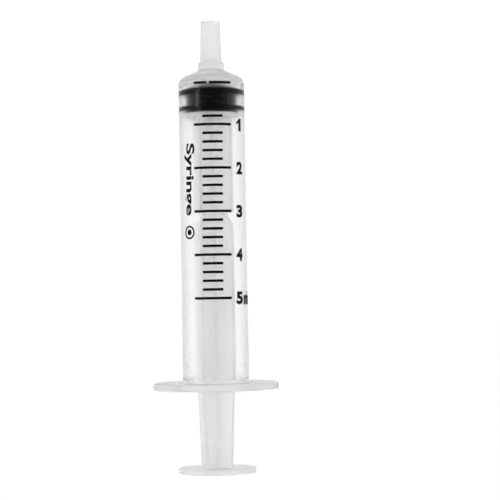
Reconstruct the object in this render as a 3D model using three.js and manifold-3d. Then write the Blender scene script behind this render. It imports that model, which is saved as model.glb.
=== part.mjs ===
// A 5 ml Luer-slip syringe of three pieces: a moulded barrel with its nozzle and finger flange,
// a plunger rod with four fins and a thumb rest, and a rubber stopper that snaps over the rod's head.
// Millimetres, +Z up. The syringe stands on its thumb rest with the nozzle up, and the origin is the
// centre of the thumb rest's underside.
import * as THREE from 'three';
import { mergeVertices } from 'three/addons/utils/BufferGeometryUtils.js';
import Module from 'manifold-3d';

const wasm = await Module();
wasm.setup();

const ROUND_SIDES = 64; // sides of everything round, except the hubs
const HUB_SIDES = 32; // sides of the small hubs on the rod's axis

// How the pieces stand to each other as stored
const ROD_EXTENSION = 17.1; // thumb rest's underside to the flange's underside
const STOPPER_INSET = 7.1; // stopper's underside to the barrel's shoulder

// Barrel
const BORE_RADIUS = 6.0;
const BARREL_WALL = 0.8;
const BARREL_LENGTH = 64.0; // flange's underside to the shoulder, where the wall meets the dome
const DOME_SLOPE = 0.445; // rise over run of the dome, inside and outside
const DOME_CLEAR_HEIGHT = 0.8; // outer shoulder above the inner one
const SHOULDER_FILLET = 1.3; // from the shoulder's corner to each end of its rounding
const BORE_LEAD_IN = 0.35; // chamfer at the mouth of the bore
const BEAD_HEIGHT = 4.3; // flange's underside to the ring that keeps the stopper in
const BEAD_HALF_WIDTH = 0.55;

// Nozzle: a 6 % Luer taper above a short collar
const COLLAR_STEP = 0.418; // collar proud of the nozzle's base
const COLLAR_LENGTH = 1.7;
const NOZZLE_LENGTH = 8.4;
const NOZZLE_TIP_RADIUS = 1.98;
const LUER_TAPER = 0.06; // change of diameter over length
const NOZZLE_BORE_RADIUS = 1.1;
const NOZZLE_EDGE = 0.15; // chamfer at the tip

// Finger flange: a round plate
const FLANGE_RADIUS = 12.9;
const FLANGE_THICKNESS = 1.45;
const FLANGE_EDGE = 0.25; // chamfer of the rim
const FLANGE_FILLET = 0.5; // chamfer between the flange and the outer wall

// Plunger rod
const THUMB_RADIUS = 7.95;
const THUMB_THICKNESS = 1.05;
const THUMB_EDGE = 0.3;
const FIN_THICKNESS = 0.9;
const FIN_RADIUS = 4.6;
const FIN_FOOT_RADIUS = 3.68; // fins at the thumb rest
const FIN_FOOT_HEIGHT = 21.75; // length over which the fins widen from there
const NOTCH_DEPTH = 1.3; // notch in each fin, with a square shoulder and a rounded ramp
const NOTCH_SHOULDER = 19.55; // shoulder below the disc
const NOTCH_FLAT = 1.0;
const NOTCH_RAMP = 3.2;
const HUB_RADIUS = 1.4; // short round hubs on the rod's axis
const HUBS = [{ above: 0, length: 1.5 }, { above: 3.85, length: 1.7 }]; // above the thumb rest
const DISC_THICKNESS = 1.05; // pushes on the stopper

// Stopper, with heights above its underside
const STOPPER_GAP = 0.03; // between the sealing rings and the bore
const WAIST_RELIEF = 0.57; // waist within the sealing rings
const SKIRT_RELIEF = 0.4; // skirt, cone and the rod's disc within the sealing rings
const LOWER_RING = { start: 0.3, end: 1.4 };
const UPPER_RING = { start: 3.5, end: 4.8 };
const RING_EDGE = 0.15; // chamfer of each sealing ring
const STOPPER_HEIGHT = 6.4;
const STOPPER_TOP_RADIUS = 1.2;
const DISC_GAP = 0.05; // between the rod's disc and the stopper

// Snap joint between the rod's head and the stopper
const NECK_RADIUS = 2.7;
const NECK_LENGTH = 1.8;
const BARB_RADIUS = 3.85;
const BARB_LENGTH = 1.45;
const HEAD_TIP_RADIUS = 2.2;
const HEAD_TIP_LENGTH = 0.8;
const SOCKET_GAP = 0.2; // all round the head, so that the rod can turn in the stopper

const barrelBottom = ROD_EXTENSION;
const barrelRadius = BORE_RADIUS + BARREL_WALL;
const flangeTop = barrelBottom + FLANGE_THICKNESS;
const shoulder = barrelBottom + BARREL_LENGTH;
const nozzleBaseRadius = NOZZLE_TIP_RADIUS + (LUER_TAPER / 2) * NOZZLE_LENGTH;
const collarRadius = nozzleBaseRadius + COLLAR_STEP;
const collarBottom = shoulder + (barrelRadius - collarRadius) * DOME_SLOPE;
const collarTop = collarBottom + COLLAR_LENGTH;
const nozzleTop = collarTop + NOZZLE_LENGTH;
const innerShoulder = shoulder - DOME_CLEAR_HEIGHT;
const innerDomeTop = innerShoulder + (BORE_RADIUS - NOZZLE_BORE_RADIUS) * DOME_SLOPE;

const stopperBottom = shoulder - STOPPER_INSET;
const ringRadius = BORE_RADIUS - STOPPER_GAP;
const skirtRadius = ringRadius - SKIRT_RELIEF;
const beadRadius = (ringRadius + skirtRadius) / 2; // lets the rod's disc past and stops the rings

const discTop = stopperBottom - DISC_GAP;
const discBottom = discTop - DISC_THICKNESS;
const barbBottom = discTop + NECK_LENGTH;
const barbTop = barbBottom + BARB_LENGTH;
const headTop = barbTop + HEAD_TIP_LENGTH;

const clearPlastic = new THREE.MeshStandardMaterial({
  color: 0xe6e9eb, roughness: 0.25, metalness: 0, transparent: true, opacity: 0.5,
});
const milkyPlastic = new THREE.MeshStandardMaterial({
  color: 0xe3e5e6, roughness: 0.35, metalness: 0, transparent: true, opacity: 0.8,
});
const blackRubber = new THREE.MeshStandardMaterial({ color: 0x0c0c0d, roughness: 0.45, metalness: 0 });

// A solid of revolution about Z. Points are [radius, z], from bottom to top, and they start and end
// on the axis or close on themselves.
function revolve(points, sides) {
  const profile = points.map(([radius, z]) => new THREE.Vector2(radius, z));
  return new THREE.LatheGeometry(profile, sides).rotateX(Math.PI / 2);
}

function toSolid(geometry) {
  const bare = geometry.clone();
  bare.deleteAttribute('normal');
  bare.deleteAttribute('uv');
  const merged = mergeVertices(bare);
  return new wasm.Manifold(new wasm.Mesh({
    numProp: 3,
    vertProperties: new Float32Array(merged.attributes.position.array),
    triVerts: new Uint32Array(merged.index.array),
  }));
}

function toGeometry(solid) {
  const mesh = solid.getMesh();
  const geometry = new THREE.BufferGeometry();
  geometry.setAttribute('position', new THREE.BufferAttribute(new Float32Array(mesh.vertProperties), 3));
  geometry.setIndex(new THREE.BufferAttribute(new Uint32Array(mesh.triVerts), 1));
  geometry.computeVertexNormals();
  return geometry;
}

// Points on a rounding between two [radius, z] ends, bulging to the corner that they share.
function roundCorner(from, corner, to, steps) {
  const curve = new THREE.QuadraticBezierCurve(
    new THREE.Vector2(...from), new THREE.Vector2(...corner), new THREE.Vector2(...to));
  return curve.getPoints(steps).map((point) => [point.x, point.y]);
}

// The barrel's outside: flange, wall, rounded shoulder, dome, collar and tapered nozzle.
function barrelOutside() {
  const filletRun = SHOULDER_FILLET / Math.hypot(1, DOME_SLOPE);
  const roundShoulder = roundCorner(
    [barrelRadius, shoulder - SHOULDER_FILLET],
    [barrelRadius, shoulder],
    [barrelRadius - filletRun, shoulder + filletRun * DOME_SLOPE], 5);
  return revolve([
    [0, barrelBottom],
    [FLANGE_RADIUS - FLANGE_EDGE, barrelBottom],
    [FLANGE_RADIUS, barrelBottom + FLANGE_EDGE],
    [FLANGE_RADIUS, flangeTop - FLANGE_EDGE],
    [FLANGE_RADIUS - FLANGE_EDGE, flangeTop],
    [barrelRadius + FLANGE_FILLET, flangeTop],
    [barrelRadius, flangeTop + FLANGE_FILLET],
    ...roundShoulder,
    [collarRadius, collarBottom],
    [collarRadius, collarTop - COLLAR_STEP],
    [nozzleBaseRadius, collarTop],
    [NOZZLE_TIP_RADIUS + NOZZLE_EDGE * LUER_TAPER / 2, nozzleTop - NOZZLE_EDGE],
    [NOZZLE_TIP_RADIUS - NOZZLE_EDGE, nozzleTop],
    [0, nozzleTop],
  ], ROUND_SIDES);
}

// What is taken out of the barrel: the bore with its lead-in and its bead, the inner dome and the
// nozzle's bore. It runs past both ends.
function barrelInside() {
  const past = 1;
  const bead = barrelBottom + BEAD_HEIGHT;
  return revolve([
    [0, barrelBottom - past],
    [BORE_RADIUS + BORE_LEAD_IN, barrelBottom - past],
    [BORE_RADIUS + BORE_LEAD_IN, barrelBottom],
    [BORE_RADIUS, barrelBottom + BORE_LEAD_IN * 2],
    [BORE_RADIUS, bead - BEAD_HALF_WIDTH],
    [beadRadius, bead],
    [BORE_RADIUS, bead + BEAD_HALF_WIDTH],
    [BORE_RADIUS, innerShoulder],
    [NOZZLE_BORE_RADIUS, innerDomeTop],
    [NOZZLE_BORE_RADIUS, nozzleTop + past],
    [0, nozzleTop + past],
  ], ROUND_SIDES);
}

function barrel() {
  return toGeometry(toSolid(barrelOutside()).subtract(toSolid(barrelInside())));
}

// A pair of opposite fins is one plate, cut from the side view of the rod. It runs into the thumb
// rest and the disc.
function finPlate() {
  const foot = THUMB_THICKNESS / 2;
  const head = discBottom + DISC_THICKNESS / 2;
  const widened = THUMB_THICKNESS + FIN_FOOT_HEIGHT;
  const notchRadius = FIN_RADIUS - NOTCH_DEPTH;
  const notchTop = discBottom - NOTCH_SHOULDER;
  const rampTop = notchTop - NOTCH_FLAT;
  const rampBottom = rampTop - NOTCH_RAMP;
  const side = new THREE.Shape();
  side.moveTo(-FIN_FOOT_RADIUS, foot);
  side.lineTo(FIN_FOOT_RADIUS, foot);
  side.lineTo(FIN_FOOT_RADIUS, THUMB_THICKNESS);
  side.lineTo(FIN_RADIUS, widened);
  side.lineTo(FIN_RADIUS, rampBottom);
  side.absellipse(notchRadius, rampBottom, NOTCH_DEPTH, NOTCH_RAMP, 0, Math.PI / 2);
  side.lineTo(notchRadius, notchTop);
  side.lineTo(FIN_RADIUS, notchTop);
  side.lineTo(FIN_RADIUS, head);
  side.lineTo(-FIN_RADIUS, head);
  side.lineTo(-FIN_RADIUS, notchTop);
  side.lineTo(-notchRadius, notchTop);
  side.lineTo(-notchRadius, rampTop);
  side.absellipse(-notchRadius, rampBottom, NOTCH_DEPTH, NOTCH_RAMP, Math.PI / 2, Math.PI);
  side.lineTo(-FIN_RADIUS, widened);
  side.lineTo(-FIN_FOOT_RADIUS, THUMB_THICKNESS);
  const plate = new THREE.ExtrudeGeometry(
    side, { depth: FIN_THICKNESS, bevelEnabled: false, curveSegments: 8 });
  return plate.translate(0, 0, -FIN_THICKNESS / 2).rotateX(Math.PI / 2);
}

function thumbRest() {
  return revolve([
    [0, 0],
    [THUMB_RADIUS - THUMB_EDGE, 0],
    [THUMB_RADIUS, THUMB_EDGE],
    [THUMB_RADIUS, THUMB_THICKNESS - THUMB_EDGE],
    [THUMB_RADIUS - THUMB_EDGE, THUMB_THICKNESS],
    [0, THUMB_THICKNESS],
  ], ROUND_SIDES);
}

function hub({ above, length }) {
  const bottom = THUMB_THICKNESS + above;
  const top = bottom + length;
  return revolve([[0, bottom], [HUB_RADIUS, bottom], [HUB_RADIUS, top], [0, top]], HUB_SIDES);
}

// The disc that pushes on the stopper, with the neck and the barbed head above it.
function rodHead() {
  return revolve([
    [0, discBottom],
    [skirtRadius, discBottom],
    [skirtRadius, discTop],
    [NECK_RADIUS, discTop],
    [NECK_RADIUS, barbBottom],
    [BARB_RADIUS, barbBottom],
    [BARB_RADIUS, barbTop],
    [HEAD_TIP_RADIUS, headTop],
    [0, headTop],
  ], ROUND_SIDES);
}

function plungerRod() {
  const details = [finPlate().rotateZ(-Math.PI / 4), thumbRest(), rodHead(), ...HUBS.map(hub)];
  let rod = toSolid(finPlate().rotateZ(Math.PI / 4));
  for (const detail of details) {
    rod = rod.add(toSolid(detail));
  }
  return toGeometry(rod);
}

// The stopper's outside is a skirt, a lower sealing ring, a waist, an upper sealing ring and a cone;
// its inside is a socket that follows the rod's head.
function stopper() {
  const waistRadius = ringRadius - WAIST_RELIEF;
  const top = stopperBottom + STOPPER_HEIGHT;
  return revolve([
    [NECK_RADIUS + SOCKET_GAP, stopperBottom],
    [skirtRadius, stopperBottom],
    [skirtRadius, stopperBottom + LOWER_RING.start],
    [ringRadius, stopperBottom + LOWER_RING.start + RING_EDGE],
    [ringRadius, stopperBottom + LOWER_RING.end - RING_EDGE],
    [waistRadius, stopperBottom + LOWER_RING.end],
    [waistRadius, stopperBottom + UPPER_RING.start],
    [ringRadius, stopperBottom + UPPER_RING.start + RING_EDGE],
    [ringRadius, stopperBottom + UPPER_RING.end - RING_EDGE],
    [skirtRadius, stopperBottom + UPPER_RING.end + RING_EDGE],
    [STOPPER_TOP_RADIUS, top],
    [0, top],
    [0, headTop + SOCKET_GAP],
    [HEAD_TIP_RADIUS + SOCKET_GAP, headTop + SOCKET_GAP],
    [BARB_RADIUS + SOCKET_GAP, barbTop + SOCKET_GAP],
    [BARB_RADIUS + SOCKET_GAP, barbBottom - SOCKET_GAP],
    [NECK_RADIUS + SOCKET_GAP, barbBottom - SOCKET_GAP],
    [NECK_RADIUS + SOCKET_GAP, stopperBottom],
  ], ROUND_SIDES);
}

function piece(name, geometry, material) {
  const mesh = new THREE.Mesh(geometry, material);
  mesh.name = name;
  return mesh;
}

const syringe = new THREE.Group();
syringe.add(piece('barrel', barrel(), clearPlastic));
syringe.add(piece('plunger_rod', plungerRod(), milkyPlastic));
syringe.add(piece('stopper', stopper(), blackRubber));

export default syringe;
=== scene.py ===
import math

import bmesh
import bpy
from mathutils import Matrix, Vector

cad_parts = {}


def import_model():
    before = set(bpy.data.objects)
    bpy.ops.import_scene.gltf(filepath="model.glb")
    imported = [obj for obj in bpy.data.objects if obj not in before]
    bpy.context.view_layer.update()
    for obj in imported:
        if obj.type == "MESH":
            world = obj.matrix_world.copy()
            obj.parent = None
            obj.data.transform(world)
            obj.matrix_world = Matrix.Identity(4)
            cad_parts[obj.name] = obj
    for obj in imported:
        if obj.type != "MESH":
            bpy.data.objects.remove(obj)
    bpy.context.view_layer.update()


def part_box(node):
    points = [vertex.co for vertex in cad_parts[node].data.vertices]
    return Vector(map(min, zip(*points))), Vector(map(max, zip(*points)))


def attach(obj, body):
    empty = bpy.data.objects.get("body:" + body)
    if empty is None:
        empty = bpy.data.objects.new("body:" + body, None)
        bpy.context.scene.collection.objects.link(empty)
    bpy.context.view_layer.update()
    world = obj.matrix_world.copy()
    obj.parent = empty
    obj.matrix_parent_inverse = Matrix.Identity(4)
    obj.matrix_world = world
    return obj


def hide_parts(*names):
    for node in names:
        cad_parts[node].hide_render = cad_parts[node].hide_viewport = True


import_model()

MM = 0.001
SCENE = bpy.context.scene

# Places of the three pieces, from the frame
BARREL_LOW, BARREL_HIGH = (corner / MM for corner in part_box("barrel"))
ROD_LOW, ROD_HIGH = (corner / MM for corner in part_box("plunger_rod"))
STOPPER_LOW, STOPPER_HIGH = (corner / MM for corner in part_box("stopper"))

# Rounding and mesh density
ROUND_SIDES = 240
ARC_STEPS = 6
GUARD = 0.04  # distance of the guard rings that keep a rounded edge's shading off its neighbours
SHARP_ANGLE = math.radians(38)

# Barrel
BORE_RADIUS = 6.0
WALL = 0.8
LEAD_IN = 0.35
LEAD_IN_LENGTH = 0.7
LEAD_IN_FILLETS = (0.2, 0.12)  # inside, and at the mouth
BEAD_HEIGHT = 4.3
BEAD_HALF_WIDTH = 1.1
BEAD_RADIUS = 5.86
BEAD_FILLET = 3.0
SHOULDER_HEIGHT = 64.0
SHOULDER_FILLET = 2.0
INNER_SHOULDER_FILLET = 0.5
DOME_SLOPE = 0.445  # rise over run
DOME_CLEAR_HEIGHT = 0.8  # outer shoulder above the inner one
DOME_TOP_FILLET = 0.4  # where the dome's inside meets the nozzle's bore
COLLAR_RADIUS = 2.65
COLLAR_LENGTH = 1.7
COLLAR_STEP = 0.418  # collar proud of the nozzle's base
COLLAR_BEVEL = (0.25, 0.15)  # from below the collar's top to above it
COLLAR_FILLETS = (0.3, 0.2)  # at its foot and at its top
NOZZLE_LENGTH = 8.4
NOZZLE_FOOT_FILLET = 0.35
NOZZLE_TIP_RADIUS = 1.98
NOZZLE_TIP_FILLETS = (0.16, 0.1)  # outside and inside
NOZZLE_BORE_RADIUS = 1.1
FLANGE_THICKNESS = 1.45
FLANGE_EDGE = 0.35
FLANGE_FILLET = 0.9

# Plunger rod
THUMB_THICKNESS = 1.05
THUMB_EDGE = 0.3
THUMB_FLAT_RADIUS = 6.0  # where its flat top runs into the section with the fins
FIN_THICKNESS = 0.9
FIN_RADIUS = 4.6
FIN_FOOT_RADIUS = 3.68
FIN_FOOT_HEIGHT = 21.75  # length over which the fins widen
FIN_EDGE = 0.16
FIN_EDGE_STEPS = 3
VALLEY_FILLET = 0.22  # between two fins
VALLEY_STEPS = 6
VALLEY_RADIUS = math.sqrt(2) * (FIN_THICKNESS / 2 + VALLEY_FILLET) - VALLEY_FILLET
NOTCH_DEPTH = 1.3  # notch in each fin, with a square shoulder and a rounded ramp
NOTCH_SHOULDER = 19.55  # shoulder below the disc
NOTCH_FLAT = 1.0
NOTCH_RAMP = 3.2
RAMP_STEPS = 10
HUB_RADIUS = 1.15
HUBS = ((0.0, 1.5), (4.7, 0.85))  # height of the middle above the thumb rest, and half the length
HUB_STEPS = 5
SECTION_STEP = 0.03  # height over which the section changes at a shoulder
SECTION_MARGIN = 0.01  # from a flat face to the nearest section with fins
DISC_RADIUS = 5.57
DISC_THICKNESS = 1.05
DISC_FLAT_RADIUS = 5.2  # where its flat underside runs into the section with the fins
DISC_FILLETS = (0.2, 0.12)  # below and above
NECK_RADIUS = 2.7
NECK_LENGTH = 1.8
BARB_RADIUS = 3.85
BARB_LENGTH = 1.45
HEAD_TIP_RADIUS = 2.2
HEAD_TIP_LENGTH = 0.8
HEAD_FILLET = 0.2
HEAD_LENGTH = DISC_THICKNESS + NECK_LENGTH + BARB_LENGTH + HEAD_TIP_LENGTH
FACE_CENTRE_RADIUS = 1.0  # innermost ring of a flat round face

# Stopper
RING_SQUEEZE = 0.015  # sealing rings into the bore's wall, where soft rubber is pressed on it
RING_RADIUS = BORE_RADIUS + RING_SQUEEZE
LOWER_RING = (0.3, 1.4)  # bottom and top, above the stopper's underside
UPPER_RING = (3.5, 4.8)
RING_SLOPE = 0.1  # height over which a ring's flank slopes, within its bottom and top
RING_FILLETS = (0.06, 0.12)  # at the lowest corner, and at the others
WAIST_RADIUS = 5.3
WAIST_SLOPE = 0.2  # height over which a flank runs out, beyond its ring
WAIST_FILLET = 0.25
SKIRT_RADIUS = DISC_RADIUS
SKIRT_FILLET = 0.12
CONE_FOOT = 0.15  # above the upper ring
STOPPER_TOP_RADIUS = 1.2
STOPPER_TOP_FILLET = 0.5
STOPPER_CENTRE_RADIUS = 0.3
DISC_GAP = 0.05  # between the rod's disc and the stopper
SOCKET_GAP = 0.2  # all round the rod's head
SOCKET_DEPTH = 1.0  # above the barb's top
SOCKET_FILLETS = (0.2, 0.1)  # round the barb's top, and round the neck

# Printed scale. Angles are in degrees about the axis from the barrel's front (-Y) towards +X.
INK_HEIGHT = 0.02
INK_DEPTH = 0.02
INK_STEP = 0.3  # width of the flat strips that follow the barrel's curve
INK_MERGE = 1e-4  # points nearer than this become one
INK_TOLERANCE = 1e-5
ZERO_BELOW_TIP = 13.32
ZERO_GAP = (-1.2, -0.7)  # the break in the zero line
FIRST_ML = 8.53  # length of the first ml, and of each of the others
NEXT_ML = 8.842
TICKS_PER_ML = 5
CAPACITY = 5
TICK_THICKNESS = 0.52
LONG_TICK = 7.94
SHORT_TICK = 4.2
TICK_ANGLES = (-8.6, -13.3)  # at the zero line and at the last line
NUMERAL_ANGLES = (46.4, 38.35)
NUMERAL_HEIGHT = 2.6
NUMERAL_WIDTH = 1.95
ONE_STEM = (-0.33, 0.52)  # left and right
ONE_FLAG = (-1.0, 0.8, 1.25)  # left end, and its upper and lower corner below the top
ONE_FLAG_ROOT = (0.25, 0.85)  # where it meets the stem: to the right along the top, and down the side
LETTER_WEIGHT = 0.052  # how much the strokes are thickened
LETTER_STEPS = 6
WORD_WEIGHT = 0.028
UNIT_ANGLE = 65
UNIT_HEIGHT = 2.7
WORD = "Syringe"
WORD_ANGLE = -56.5
WORD_LEAN = 0.19  # degrees that the word leans per millimetre
WORD_HEIGHT = 2.9
WORD_LENGTH = 14.7
WORD_TOP = 67.45
MARK_ANGLE = -56.9
MARK_Z = 49.3
MARK_RADIUS = 1.39
MARK_LINE = 0.36
MARK_DOT = 0.6
MARK_SIDES = 48

# Plastic. A noise is (scale, detail) and perhaps its stretch, and a bump (strength, height in metres).
PLASTIC_GREY = 0.99
PLASTIC_IOR = 1.49
PLASTIC_GLOSS = 0.25  # share of the mirror-like reflections that is left
POLISH_NOISE = (160, 3)
FLOW_NOISE = (250, 2, (1, 1, 0.15))
FLOW_BUMP = (0.02, 0.00003)
SHADE_GREY = 0.82  # colour of the light that the shade lets through
BARREL_SHADE = 30  # density of the shade, per metre
BARREL_ROUGHNESS = (0.2, 0.28)
ROD_SHADE = 25
ROD_ROUGHNESS = (0.35, 0.45)

# How much of the light goes straight through the plastic
MILKY_ENDS = 0.65
MILKY_SHOULDER = (-1.9, -0.5)  # heights from clear to milky, counted from the shoulder
MILKY_FOOT = (0.0, 1.0)  # heights from milky to clear, counted from the flange's top
MILKY_ROD = 0.45
SCATTER_LENGTH = 1.5  # how far the rest of the light wanders inside the rod

# Black rubber and ink
BLACK = (0.0012, 0.0012, 0.0013, 1)
RUBBER_GLOSS = 0.08
RUBBER_NOISE = (900, 4)
RUBBER_ROUGHNESS = (0.16, 0.26)
RUBBER_BUMP = (0.1, 0.00003)
INK_GLOSS = 0.1
INK_NOISE = (2500, 3)
INK_ROUGHNESS = (0.4, 0.65)
INK_BUMP = (0.15, 0.00002)

# Camera, with its angles in degrees
VIEW_AZIMUTH = -10.5
CAMERA_DISTANCE = 371.5
CAMERA_HEIGHT = 34.35
CAMERA_PITCH = 1.745
CAMERA_YAW = 1.147
CAMERA_ROLL = 0.98
CAMERA_LENS = 129.6
CAMERA_SENSOR = 36

# Floor and light
FLOOR_DROP = 52.0  # below the syringe: the plunger's whole travel
FLOOR_HALF_SIZE = 6.0  # metres
FLOOR_GREY = 0.2
FLOOR_GLOW = 0.83
FLOOR_MIRROR_GLOW = 0.5  # as it shows after one reflection in the syringe
BACKDROP_GLOW = 1.05  # as the camera sees it
ROOM_RISE = (0.0, 0.12)  # the room dims between these sines of elevation
ROOM_GLOW = (1.08, 0.9)
DARK_FRONT = (0.3, 0.85)  # its reflection darkens between these cosines off the front
DARK_GLOW = (0.9, 0.0)
SOFTBOX_ANGLE = -51  # degrees from the front, to the left
SOFTBOX_EDGE = (0.985, 0.995)  # its soft edge, between these cosines off its middle
SOFTBOX_GLOW = 8.0
LIGHT_STEPS = 32  # walls that light may pass through on its way
MIRROR_STEPS = 24  # how often it may be reflected or scattered


# ---------------------------------------------------------------- outlines

def rounded(corners):
    """Rounds an open outline. A corner is (radius, z) or (radius, z, fillet), and a rounded one
    becomes an arc with a guard point on each side."""
    points = [Vector(corner[:2]) for corner in corners]
    outline = []
    for index, corner in enumerate(corners):
        if len(corner) == 2:
            outline.append(points[index])
            continue
        here = points[index]
        back = (points[index - 1] - here).normalized()
        ahead = (points[index + 1] - here).normalized()
        outline += corner_arc(here, back, ahead, corner[2])
    return outline


def corner_arc(corner, back, ahead, fillet):
    half = back.angle(ahead) / 2
    reach = fillet / math.tan(half)
    centre = corner + (back + ahead).normalized() * (fillet / math.sin(half))
    first = corner + back * reach - centre
    last = corner + ahead * reach - centre
    sweep = first.angle(last)
    arc = [corner + back * (reach + GUARD)]
    for step in range(ARC_STEPS + 1):
        t = step / ARC_STEPS
        share = math.sin((1 - t) * sweep), math.sin(t * sweep)
        arc.append(centre + (first * share[0] + last * share[1]) / math.sin(sweep))
    arc.append(corner + ahead * (reach + GUARD))
    return arc


# ---------------------------------------------------------------- meshes

def round_rings(outline, sides=ROUND_SIDES, start=0.0):
    """A ring of points for each (radius, z) of an outline, from an angle on."""
    angles = [start + 2 * math.pi * i / sides for i in range(sides)]
    return [[Vector((r * math.cos(a), r * math.sin(a), z)) for a in angles] for r, z in outline]


def loft(name, rings, closed=False):
    """A closed mesh through rings of equally many points. Its ends are fans, unless the last ring
    joins the first."""
    bm = bmesh.new()
    loops = [[bm.verts.new(point * MM) for point in ring] for ring in rings]
    sides = len(loops[0])
    pairs = list(zip(loops, loops[1:]))
    if closed:
        pairs.append((loops[-1], loops[0]))
    for lower, upper in pairs:
        for i in range(sides):
            j = (i + 1) % sides
            bm.faces.new((lower[i], lower[j], upper[j], upper[i]))
    if not closed:
        for loop in (loops[0], loops[-1]):
            centre = bm.verts.new(sum((v.co for v in loop), Vector()) / sides)
            for i in range(sides):
                bm.faces.new((centre, loop[i], loop[(i + 1) % sides]))
    return finished(name, bm)


def finished(name, bm):
    """Closes a bmesh into an object with smooth faces and sharp edges where the surface turns."""
    bmesh.ops.recalc_face_normals(bm, faces=bm.faces)
    for face in bm.faces:
        face.smooth = True
    for edge in bm.edges:
        edge.smooth = edge.calc_face_angle(0) < SHARP_ANGLE
    mesh = bpy.data.meshes.new(name)
    bm.to_mesh(mesh)
    bm.free()
    piece = bpy.data.objects.new(name, mesh)
    SCENE.collection.objects.link(piece)
    return piece


# ---------------------------------------------------------------- barrel

def barrel():
    low, tip = BARREL_LOW.z, BARREL_HIGH.z
    outer = BORE_RADIUS + WALL
    flange_top = low + FLANGE_THICKNESS
    shoulder = low + SHOULDER_HEIGHT
    inner_shoulder = shoulder - DOME_CLEAR_HEIGHT
    inner_top = inner_shoulder + (BORE_RADIUS - NOZZLE_BORE_RADIUS) * DOME_SLOPE
    collar_top = tip - NOZZLE_LENGTH
    nozzle_base = COLLAR_RADIUS - COLLAR_STEP
    bead = low + BEAD_HEIGHT
    rim = BARREL_HIGH.x
    outline = rounded([
        (outer, low),
        (rim, low, FLANGE_EDGE),
        (rim, flange_top, FLANGE_EDGE),
        (outer, flange_top, FLANGE_FILLET),
        (outer, shoulder, SHOULDER_FILLET),
        (COLLAR_RADIUS, collar_top - COLLAR_LENGTH, COLLAR_FILLETS[0]),
        (COLLAR_RADIUS, collar_top - COLLAR_BEVEL[0], COLLAR_FILLETS[1]),
        (nozzle_base, collar_top + COLLAR_BEVEL[1], NOZZLE_FOOT_FILLET),
        (NOZZLE_TIP_RADIUS, tip, NOZZLE_TIP_FILLETS[0]),
        (NOZZLE_BORE_RADIUS, tip, NOZZLE_TIP_FILLETS[1]),
        (NOZZLE_BORE_RADIUS, inner_top, DOME_TOP_FILLET),
        (BORE_RADIUS, inner_shoulder, INNER_SHOULDER_FILLET),
        (BORE_RADIUS, bead + BEAD_HALF_WIDTH, BEAD_FILLET),
        (BEAD_RADIUS, bead, BEAD_FILLET),
        (BORE_RADIUS, bead - BEAD_HALF_WIDTH, BEAD_FILLET),
        (BORE_RADIUS, low + LEAD_IN_LENGTH, LEAD_IN_FILLETS[0]),
        (BORE_RADIUS + LEAD_IN, low, LEAD_IN_FILLETS[1]),
        (outer, low),
    ])
    return loft("barrel_shell", round_rings(outline[:-1]), closed=True)


# ---------------------------------------------------------------- plunger rod

def notch():
    """Heights of the notch's square shoulder, and of the top and the bottom of its rounded ramp."""
    shoulder = ROD_HIGH.z - HEAD_LENGTH - NOTCH_SHOULDER
    ramp_top = shoulder - NOTCH_FLAT
    return shoulder, ramp_top, ramp_top - NOTCH_RAMP


def fin_reach(z):
    """The fins' radius at a height: widening from the foot, then straight, with the notch."""
    shoulder, ramp_top, ramp_bottom = notch()
    foot = min((z - THUMB_THICKNESS) / FIN_FOOT_HEIGHT, 1)
    radius = FIN_FOOT_RADIUS + (FIN_RADIUS - FIN_FOOT_RADIUS) * foot
    if ramp_top <= z <= shoulder:
        return radius - NOTCH_DEPTH
    if ramp_bottom < z < ramp_top:
        rise = min((z - ramp_bottom) / NOTCH_RAMP, 1)
        return radius - NOTCH_DEPTH * (1 - math.sqrt(1 - rise ** 2))
    return radius


def hub_radius(z):
    """The round swellings between the fins near the thumb rest. None where there isn't one."""
    for middle, half in HUBS:
        share = (z - THUMB_THICKNESS - middle) / half
        if abs(share) <= 1:
            return VALLEY_RADIUS + (HUB_RADIUS - VALLEY_RADIUS) * math.sqrt(1 - share ** 2)
    return None


def fin_corner(reach):
    """One rounded corner of a fin that points along x, from its tip to its side."""
    centre = reach - FIN_EDGE, FIN_THICKNESS / 2 - FIN_EDGE
    turns = [math.pi / 2 * step / FIN_EDGE_STEPS for step in range(FIN_EDGE_STEPS + 1)]
    corner = [(centre[0] + FIN_EDGE * math.cos(a), centre[1] + FIN_EDGE * math.sin(a)) for a in turns]
    return corner + [(centre[0] - GUARD, FIN_THICKNESS / 2)]


def valley(hub):
    """Between a fin along x and one along y: round a hub, or a fillet where there is none."""
    half = FIN_THICKNESS / 2
    shares = [step / VALLEY_STEPS for step in range(VALLEY_STEPS + 1)]
    if hub:
        start = math.asin(half / hub)
        turns = [start + (math.pi / 2 - 2 * start) * share for share in shares]
        return [(hub * math.cos(a), hub * math.sin(a)) for a in turns]
    centre = half + VALLEY_FILLET
    turns = [math.pi / 2 * share for share in shares]
    return [(centre - VALLEY_FILLET * math.sin(a), centre - VALLEY_FILLET * math.cos(a)) for a in turns]


def cross_ring(z):
    """The rod's X-shaped section at a height, as one ring of points."""
    between = valley(hub_radius(z))
    side = fin_corner(fin_reach(z)) + [(between[0][0] + GUARD, FIN_THICKNESS / 2)]
    quarter = side + between + [(y, x) for x, y in reversed(side)]
    ring = []
    for turn in range(4):
        spin = Matrix.Rotation(math.pi / 4 + turn * math.pi / 2, 3, "Z")
        ring += [spin @ Vector((x, y, z)) for x, y in quarter]
    return ring


def hub_heights(middle, half):
    """Where the rod is cut across to follow a hub, with a plain section beyond each end."""
    turns = [math.pi / 2 * step / HUB_STEPS for step in range(-HUB_STEPS, HUB_STEPS + 1)]
    offsets = [half * math.sin(turn) for turn in turns] + [-half - SECTION_STEP, half + SECTION_STEP]
    heights = [THUMB_THICKNESS + middle + offset for offset in offsets]
    return [z for z in heights if z > THUMB_THICKNESS]


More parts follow.
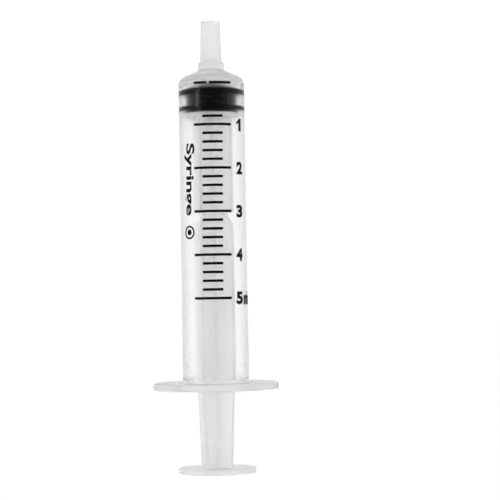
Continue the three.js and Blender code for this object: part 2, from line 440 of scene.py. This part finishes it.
def section_heights():
    """Every height at which the rod is cut across between the thumb rest and the disc."""
    shoulder, ramp_top, ramp_bottom = notch()
    disc_low = ROD_HIGH.z - HEAD_LENGTH
    turns = [math.pi / 2 * step / RAMP_STEPS for step in range(RAMP_STEPS + 1)]
    heights = [ramp_bottom + NOTCH_RAMP * math.sin(turn) for turn in turns]
    for middle, half in HUBS:
        heights += hub_heights(middle, half)
    heights += [THUMB_THICKNESS + SECTION_MARGIN, THUMB_THICKNESS + FIN_FOOT_HEIGHT]
    heights += [shoulder - SECTION_STEP, shoulder + SECTION_STEP, disc_low - SECTION_MARGIN]
    return sorted(heights)


def plunger_rod():
    disc_low = ROD_HIGH.z - HEAD_LENGTH
    disc_high = disc_low + DISC_THICKNESS
    barb_low = disc_high + NECK_LENGTH
    thumb_rest = rounded([
        (FACE_CENTRE_RADIUS, 0.0),
        (ROD_HIGH.x, 0.0, THUMB_EDGE),
        (ROD_HIGH.x, THUMB_THICKNESS, THUMB_EDGE),
        (THUMB_FLAT_RADIUS, THUMB_THICKNESS),
    ])
    head = rounded([
        (DISC_FLAT_RADIUS, disc_low),
        (DISC_RADIUS, disc_low, DISC_FILLETS[0]),
        (DISC_RADIUS, disc_high, DISC_FILLETS[1]),
        (NECK_RADIUS, disc_high),
        (NECK_RADIUS, barb_low),
        (BARB_RADIUS, barb_low, HEAD_FILLET),
        (BARB_RADIUS, barb_low + BARB_LENGTH, HEAD_FILLET),
        (HEAD_TIP_RADIUS, ROD_HIGH.z, HEAD_FILLET),
        (FACE_CENTRE_RADIUS, ROD_HIGH.z),
    ])
    fins = [cross_ring(z) for z in section_heights()]
    like_fins = len(fins[0]), math.pi / 4
    rings = round_rings(thumb_rest, *like_fins) + fins + round_rings(head, *like_fins)
    return loft("plunger_rod_body", rings)


# ---------------------------------------------------------------- stopper

def stopper():
    """One skin: up the inside of the socket from its closed end, and then up the outside."""
    low, top = STOPPER_LOW.z, STOPPER_HIGH.z
    neck_top = low - DISC_GAP + NECK_LENGTH - SOCKET_GAP
    barb_top = low - DISC_GAP + NECK_LENGTH + BARB_LENGTH
    socket_neck = NECK_RADIUS + SOCKET_GAP
    socket_barb = BARB_RADIUS + SOCKET_GAP
    outline = rounded([
        (STOPPER_CENTRE_RADIUS, barb_top + SOCKET_DEPTH),
        (HEAD_TIP_RADIUS + SOCKET_GAP, barb_top + SOCKET_DEPTH, SOCKET_FILLETS[0]),
        (socket_barb, barb_top + SOCKET_GAP, SOCKET_FILLETS[0]),
        (socket_barb, neck_top, SOCKET_FILLETS[1]),
        (socket_neck, neck_top, SOCKET_FILLETS[1]),
        (socket_neck, low, SOCKET_FILLETS[1]),
        (SKIRT_RADIUS, low, SKIRT_FILLET),
        (SKIRT_RADIUS, low + LOWER_RING[0]),
        (RING_RADIUS, low + LOWER_RING[0] + RING_SLOPE, RING_FILLETS[0]),
        (RING_RADIUS, low + LOWER_RING[1] - RING_SLOPE, RING_FILLETS[1]),
        (WAIST_RADIUS, low + LOWER_RING[1] + WAIST_SLOPE, WAIST_FILLET),
        (WAIST_RADIUS, low + UPPER_RING[0] - WAIST_SLOPE, WAIST_FILLET),
        (RING_RADIUS, low + UPPER_RING[0] + RING_SLOPE, RING_FILLETS[1]),
        (RING_RADIUS, low + UPPER_RING[1] - RING_SLOPE, RING_FILLETS[1]),
        (SKIRT_RADIUS, low + UPPER_RING[1] + CONE_FOOT, SKIRT_FILLET),
        (STOPPER_TOP_RADIUS, top, STOPPER_TOP_FILLET),
        (STOPPER_CENTRE_RADIUS, top),
    ])
    return loft("stopper_rubber", round_rings(outline))


# ---------------------------------------------------------------- print

def askew(angles, z):
    """The print runs slightly askew round the barrel. This is its angle at a height, from its angles
    at the zero line and at the last line."""
    zero = BARREL_HIGH.z - ZERO_BELOW_TIP
    share = (zero - z) / (FIRST_ML + NEXT_ML * (CAPACITY - 1))
    return angles[0] + (angles[1] - angles[0]) * share


def wrap(name, bm, angle, z, lean=0.0):
    """Lays flat shapes, drawn in x and y about their own origin, on the barrel as thin ink."""
    bmesh.ops.remove_doubles(bm, verts=bm.verts, dist=INK_MERGE)
    reach = max(abs(v.co.x) for v in bm.verts)
    cuts = int(reach / INK_STEP)
    for cut in range(-cuts, cuts + 1):
        geometry = bm.verts[:] + bm.edges[:] + bm.faces[:]
        middle = (cut * INK_STEP, 0, 0)
        bmesh.ops.bisect_plane(bm, geom=geometry, dist=INK_TOLERANCE, plane_co=middle, plane_no=(1, 0, 0))
    outer = BORE_RADIUS + WALL
    extruded = bmesh.ops.extrude_face_region(bm, geom=bm.faces[:])
    raised = {v for v in extruded["geom"] if isinstance(v, bmesh.types.BMVert)}
    for vert in bm.verts:
        radius = outer + INK_HEIGHT if vert in raised else outer - INK_DEPTH
        around = math.radians(angle + lean * vert.co.y) + vert.co.x / outer
        height = z + vert.co.y
        vert.co = Vector((radius * math.sin(around), -radius * math.cos(around), height)) * MM
    return finished(name, bm)


def flat_outline(points):
    bm = bmesh.new()
    bm.faces.new([bm.verts.new((x, y, 0)) for x, y in points])
    return bm


def flat_text(text, height, width=None, weight=LETTER_WEIGHT):
    """Lettering in Blender's own font, centred on its origin, scaled to a height and a width."""
    curve = bpy.data.curves.new("lettering", "FONT")
    curve.body = text
    curve.size = 1.0
    curve.offset = weight
    curve.resolution_u = LETTER_STEPS
    holder = bpy.data.objects.new("lettering", curve)
    SCENE.collection.objects.link(holder)
    bpy.context.view_layer.update()
    mesh = bpy.data.meshes.new_from_object(holder.evaluated_get(bpy.context.evaluated_depsgraph_get()))
    bpy.data.objects.remove(holder)
    bpy.data.curves.remove(curve)
    bm = bmesh.new()
    bm.from_mesh(mesh)
    bpy.data.meshes.remove(mesh)
    xs = [v.co.x for v in bm.verts]
    ys = [v.co.y for v in bm.verts]
    tall = height / (max(ys) - min(ys))
    wide = width / (max(xs) - min(xs)) if width else tall
    for vert in bm.verts:
        vert.co.x = (vert.co.x - (max(xs) + min(xs)) / 2) * wide
        vert.co.y = (vert.co.y - (max(ys) + min(ys)) / 2) * tall
    return bm


def circle(radius):
    turns = [2 * math.pi * i / MARK_SIDES for i in range(MARK_SIDES)]
    return [(radius * math.cos(turn), radius * math.sin(turn)) for turn in turns]


def flat_ring(outer, inner):
    bm = bmesh.new()
    big = [bm.verts.new((x, y, 0)) for x, y in circle(outer)]
    small = [bm.verts.new((x, y, 0)) for x, y in circle(inner)]
    for i in range(MARK_SIDES):
        j = (i + 1) % MARK_SIDES
        bm.faces.new((big[i], big[j], small[j], small[i]))
    return bm


def bar(left, right, bottom, top):
    return [(left, bottom), (right, bottom), (right, top), (left, top)]


def tick_shapes(length, gap):
    """One line, or two where it has a gap."""
    ends = (-length / 2, *gap, length / 2)
    half_thick = TICK_THICKNESS / 2
    return [bar(left, right, -half_thick, half_thick) for left, right in zip(ends[::2], ends[1::2])]


def scale_heights():
    """(height, is it a whole ml, ml) of each graduation, from the zero line down."""
    zero = BARREL_HIGH.z - ZERO_BELOW_TIP
    for index in range(CAPACITY * TICKS_PER_ML + 1):
        ml = index / TICKS_PER_ML
        drop = FIRST_ML * min(ml, 1) + NEXT_ML * max(ml - 1, 0)
        yield zero - drop, index % TICKS_PER_ML == 0, ml


def scale_ticks():
    pieces = []
    for z, whole, ml in scale_heights():
        length = LONG_TICK if whole else SHORT_TICK
        gap = ZERO_GAP if ml == 0 else ()
        for shape in tick_shapes(length, gap):
            pieces.append(wrap("tick", flat_outline(shape), askew(TICK_ANGLES, z), z))
    return joined("scale_ticks", pieces)


def joined(name, pieces):
    bm = bmesh.new()
    for piece in pieces:
        bm.from_mesh(piece.data)
        bpy.data.objects.remove(piece)
    return finished(name, bm)


def numeral_one():
    """A stem with a slanting flag."""
    top = NUMERAL_HEIGHT / 2
    left, right = ONE_STEM
    end, upper, lower = ONE_FLAG
    across, down = ONE_FLAG_ROOT
    return flat_outline([
        (left, -top),
        (right, -top),
        (right, top),
        (left + across, top),
        (end, top - upper),
        (end, top - lower),
        (left, top - down),
    ])


def numerals():
    pieces = []
    for z, whole, ml in scale_heights():
        if whole and ml > 0:
            shape = numeral_one()
            if ml > 1:
                shape = flat_text(str(round(ml)), NUMERAL_HEIGHT, NUMERAL_WIDTH)
            pieces.append(wrap("numeral", shape, askew(NUMERAL_ANGLES, z), z))
    return joined("scale_numerals", pieces)


def side_print():
    """The generic word that runs down the left side, and the ringed dot under it."""
    word = flat_text(WORD, WORD_HEIGHT, WORD_LENGTH, WORD_WEIGHT)
    for vert in word.verts:
        vert.co = Vector((vert.co.y, -vert.co.x, 0))
    ring = flat_ring(MARK_RADIUS, MARK_RADIUS - MARK_LINE)
    dot = flat_outline(circle(MARK_DOT))
    return joined("side_print", [
        wrap("word", word, WORD_ANGLE, WORD_TOP - WORD_LENGTH / 2, WORD_LEAN),
        wrap("ring", ring, MARK_ANGLE, MARK_Z),
        wrap("dot", dot, MARK_ANGLE, MARK_Z),
    ])


def unit():
    """The unit, beside the last numeral."""
    last_line = list(scale_heights())[-1][0]
    return wrap("scale_unit", flat_text("ml", UNIT_HEIGHT), UNIT_ANGLE, last_line)


# ---------------------------------------------------------------- materials

def material(name):
    """A new material, its nodes, its links and its shader."""
    mat = bpy.data.materials.new(name)
    mat.use_nodes = True
    nodes = mat.node_tree.nodes
    return mat, nodes, mat.node_tree.links, nodes["Principled BSDF"]


def noise(nodes, links, scale, detail, stretch=(1, 1, 1)):
    coordinates = nodes.new("ShaderNodeTexCoord")
    mapping = nodes.new("ShaderNodeMapping")
    mapping.inputs["Scale"].default_value = stretch
    texture = nodes.new("ShaderNodeTexNoise")
    texture.inputs["Scale"].default_value = scale
    texture.inputs["Detail"].default_value = detail
    links.new(coordinates.outputs["Object"], mapping.inputs["Vector"])
    links.new(mapping.outputs["Vector"], texture.inputs["Vector"])
    return texture.outputs["Fac"]


def mapped(nodes, links, value, span, outputs):
    """A value that runs between two outputs while the input runs over a span."""
    change = nodes.new("ShaderNodeMapRange")
    change.inputs["From Min"].default_value, change.inputs["From Max"].default_value = span
    change.inputs["To Min"].default_value, change.inputs["To Max"].default_value = outputs
    links.new(value, change.inputs["Value"])
    return change.outputs["Result"]


def combined(nodes, links, operation, first, second):
    """Two values added or multiplied."""
    node = nodes.new("ShaderNodeMath")
    node.operation = operation
    links.new(first, node.inputs[0])
    links.new(second, node.inputs[1])
    return node.outputs["Value"]


def bumped(nodes, links, shader, value, strength, distance):
    bump = nodes.new("ShaderNodeBump")
    bump.inputs["Strength"].default_value = strength
    bump.inputs["Distance"].default_value = distance
    links.new(value, bump.inputs["Height"])
    links.new(bump.outputs["Normal"], shader.inputs["Normal"])


def plastic(name, roughness, shade):
    """Clear plastic with uneven polish and faint flow marks, greyer where it is thicker."""
    mat, nodes, links, shader = material(name)
    shader.inputs["Base Color"].default_value = (PLASTIC_GREY, PLASTIC_GREY, PLASTIC_GREY, 1)
    shader.inputs["IOR"].default_value = PLASTIC_IOR
    shader.inputs["Specular Tint"].default_value = (PLASTIC_GLOSS, PLASTIC_GLOSS, PLASTIC_GLOSS, 1)
    polish = noise(nodes, links, *POLISH_NOISE)
    links.new(mapped(nodes, links, polish, (0, 1), roughness), shader.inputs["Roughness"])
    bumped(nodes, links, shader, noise(nodes, links, *FLOW_NOISE), *FLOW_BUMP)
    volume = nodes.new("ShaderNodeVolumeAbsorption")
    volume.inputs["Color"].default_value = (SHADE_GREY, SHADE_GREY, SHADE_GREY, 1)
    volume.inputs["Density"].default_value = shade
    links.new(volume.outputs["Volume"], nodes["Material Output"].inputs["Volume"])
    return mat, nodes, links, shader


def barrel_plastic():
    """Clear where the wall is thin, and milky in the thick flange, dome and nozzle."""
    mat, nodes, links, shader = plastic("barrel_clear_plastic", BARREL_ROUGHNESS, BARREL_SHADE)
    coordinates = nodes.new("ShaderNodeTexCoord")
    parts = nodes.new("ShaderNodeSeparateXYZ")
    links.new(coordinates.outputs["Object"], parts.inputs["Vector"])
    shoulder = BARREL_LOW.z + SHOULDER_HEIGHT
    flange_top = BARREL_LOW.z + FLANGE_THICKNESS
    top_span = [(shoulder + offset) * MM for offset in MILKY_SHOULDER]
    foot_span = [(flange_top + offset) * MM for offset in MILKY_FOOT]
    top = mapped(nodes, links, parts.outputs["Z"], top_span, (1.0, MILKY_ENDS))
    foot = mapped(nodes, links, parts.outputs["Z"], foot_span, (MILKY_ENDS, 1.0))
    links.new(combined(nodes, links, "MULTIPLY", top, foot), shader.inputs["Transmission Weight"])
    return mat


def rod_plastic():
    """Milky all through: part of the light wanders inside it."""
    mat, _, _, shader = plastic("rod_milky_plastic", ROD_ROUGHNESS, ROD_SHADE)
    shader.inputs["Transmission Weight"].default_value = MILKY_ROD
    shader.inputs["Subsurface Weight"].default_value = 1.0
    shader.inputs["Subsurface Radius"].default_value = (1, 1, 1)
    shader.inputs["Subsurface Scale"].default_value = SCATTER_LENGTH * MM
    return mat


def black(name, gloss, texture, roughness, bump):
    """Black with a fine grain, in its roughness and in its surface."""
    mat, nodes, links, shader = material(name)
    shader.inputs["Base Color"].default_value = BLACK
    shader.inputs["Specular IOR Level"].default_value = gloss
    grain = noise(nodes, links, *texture)
    links.new(mapped(nodes, links, grain, (0, 1), roughness), shader.inputs["Roughness"])
    bumped(nodes, links, shader, grain, *bump)
    return mat


def rubber():
    return black("stopper_black_rubber", RUBBER_GLOSS, RUBBER_NOISE, RUBBER_ROUGHNESS, RUBBER_BUMP)


def ink():
    return black("scale_black_ink", INK_GLOSS, INK_NOISE, INK_ROUGHNESS, INK_BUMP)


# ---------------------------------------------------------------- stage

def floor():
    """A light table, plain white by its own soft glow. It lies below the thumb rest of a plunger
    that is pulled right out, so it hides nothing at any pose."""
    bm = bmesh.new()
    bmesh.ops.create_grid(bm, x_segments=2, y_segments=2, size=FLOOR_HALF_SIZE)
    plane = finished("floor", bm)
    plane.location.z = (ROD_LOW.z - FLOOR_DROP) * MM
    mat, nodes, links, shader = material("floor_white")
    shader.inputs["Base Color"].default_value = (FLOOR_GREY, FLOOR_GREY, FLOOR_GREY, 1)
    shader.inputs["Roughness"].default_value = 1.0
    shader.inputs["Specular IOR Level"].default_value = 0.0
    shader.inputs["Emission Color"].default_value = (1, 1, 1, 1)
    glow = blend(nodes, links, first_reflection(nodes, links), FLOOR_GLOW, FLOOR_MIRROR_GLOW)
    links.new(glow, shader.inputs["Emission Strength"])
    plane.data.materials.append(mat)


def world():
    """A white room that dims upwards, with a plain white background. In what the syringe mirrors,
    the room is dark behind the camera, with one soft box to its left."""
    sky = bpy.data.worlds.new("studio")
    SCENE.world = sky
    sky.use_nodes = True
    nodes = sky.node_tree.nodes
    links = sky.node_tree.links
    direction = nodes.new("ShaderNodeTexCoord").outputs["Generated"]
    parts = nodes.new("ShaderNodeSeparateXYZ")
    links.new(direction, parts.inputs["Vector"])
    room = mapped(nodes, links, parts.outputs["Z"], ROOM_RISE, ROOM_GLOW)
    front = facing(nodes, links, direction, VIEW_AZIMUTH)
    dark = mapped(nodes, links, front, DARK_FRONT, DARK_GLOW)
    side = facing(nodes, links, direction, VIEW_AZIMUTH + SOFTBOX_ANGLE)
    softbox = mapped(nodes, links, side, SOFTBOX_EDGE, (0.0, SOFTBOX_GLOW))
    mirrored = combined(nodes, links, "ADD", dark, softbox)
    dimming = blend(nodes, links, first_reflection(nodes, links), 1.0, mirrored)
    lit = combined(nodes, links, "MULTIPLY", room, dimming)
    path = nodes.new("ShaderNodeLightPath")
    glow = blend(nodes, links, path.outputs["Is Camera Ray"], lit, BACKDROP_GLOW)
    links.new(glow, nodes["Background"].inputs["Strength"])
    nodes["Background"].inputs["Color"].default_value = (1, 1, 1, 1)


def facing(nodes, links, direction, azimuth):
    """The cosine between a direction and the level one at an azimuth."""
    cosine = nodes.new("ShaderNodeVectorMath")
    cosine.operation = "DOT_PRODUCT"
    turn = math.radians(azimuth)
    cosine.inputs[1].default_value = (math.sin(turn), -math.cos(turn), 0)
    links.new(direction, cosine.inputs[0])
    return cosine.outputs["Value"]


def first_reflection(nodes, links):
    """1 for light that reaches the eye after exactly one reflection, otherwise 0."""
    path = nodes.new("ShaderNodeLightPath")
    once = nodes.new("ShaderNodeMath")
    once.operation = "COMPARE"
    once.inputs[1].default_value = 1.0
    once.inputs[2].default_value = 0.4  # how near to 1 still counts
    links.new(path.outputs["Glossy Depth"], once.inputs[0])
    return once.outputs["Value"]


def blend(nodes, links, share, first, second):
    """From a first to a second value, each a number or another node's output, by a share."""
    mix = nodes.new("ShaderNodeMix")
    links.new(share, mix.inputs["Factor"])
    for socket, value in (("A", first), ("B", second)):
        if isinstance(value, float):
            mix.inputs[socket].default_value = value
        else:
            links.new(value, mix.inputs[socket])
    return mix.outputs["Result"]


def light_paths():
    """Light has to pass many clear walls. Without the last line Cycles roughens what is seen
    through a rough wall, and the rod and the far wall inside the barrel come out dark."""
    cycles = SCENE.cycles
    cycles.max_bounces = LIGHT_STEPS
    cycles.transmission_bounces = LIGHT_STEPS
    cycles.diffuse_bounces = MIRROR_STEPS
    cycles.glossy_bounces = MIRROR_STEPS
    cycles.blur_glossy = 0.0


def camera():
    azimuth = math.radians(VIEW_AZIMUTH)
    eye = Vector((math.sin(azimuth), -math.cos(azimuth), 0)) * CAMERA_DISTANCE * MM
    eye.z = CAMERA_HEIGHT * MM
    heading = azimuth - math.radians(CAMERA_YAW)
    pitch = math.radians(CAMERA_PITCH)
    forward = Vector((
        -math.sin(heading) * math.cos(pitch), math.cos(heading) * math.cos(pitch), math.sin(pitch)))
    right = forward.cross(Vector((0, 0, 1))).normalized()
    up = right.cross(forward)
    roll = math.radians(CAMERA_ROLL)
    rolled_right = right * math.cos(roll) - up * math.sin(roll)
    rolled_up = right * math.sin(roll) + up * math.cos(roll)
    lens = bpy.data.cameras.new("camera")
    lens.lens = CAMERA_LENS
    lens.sensor_width = CAMERA_SENSOR
    holder = bpy.data.objects.new("camera", lens)
    SCENE.collection.objects.link(holder)
    turned = Matrix((rolled_right, rolled_up, -forward)).transposed()
    holder.matrix_world = Matrix.Translation(eye) @ turned.to_4x4()
    SCENE.camera = holder


# ---------------------------------------------------------------- assembly

def place(piece, body, mat, node=None):
    """Gives a piece its material and the body that it moves with, and says which node it replaces."""
    piece.data.materials.append(mat)
    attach(piece, body)
    if node:
        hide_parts(node)


camera()
floor()
world()
light_paths()
SCENE.view_settings.view_transform = "Standard"

place(barrel(), "barrel", barrel_plastic(), "barrel")
place(plunger_rod(), "plunger_rod", rod_plastic(), "plunger_rod")
place(stopper(), "stopper", rubber(), "stopper")
black_ink = ink()
for printed in (scale_ticks(), numerals(), unit(), side_print()):
    place(printed, "barrel", black_ink)
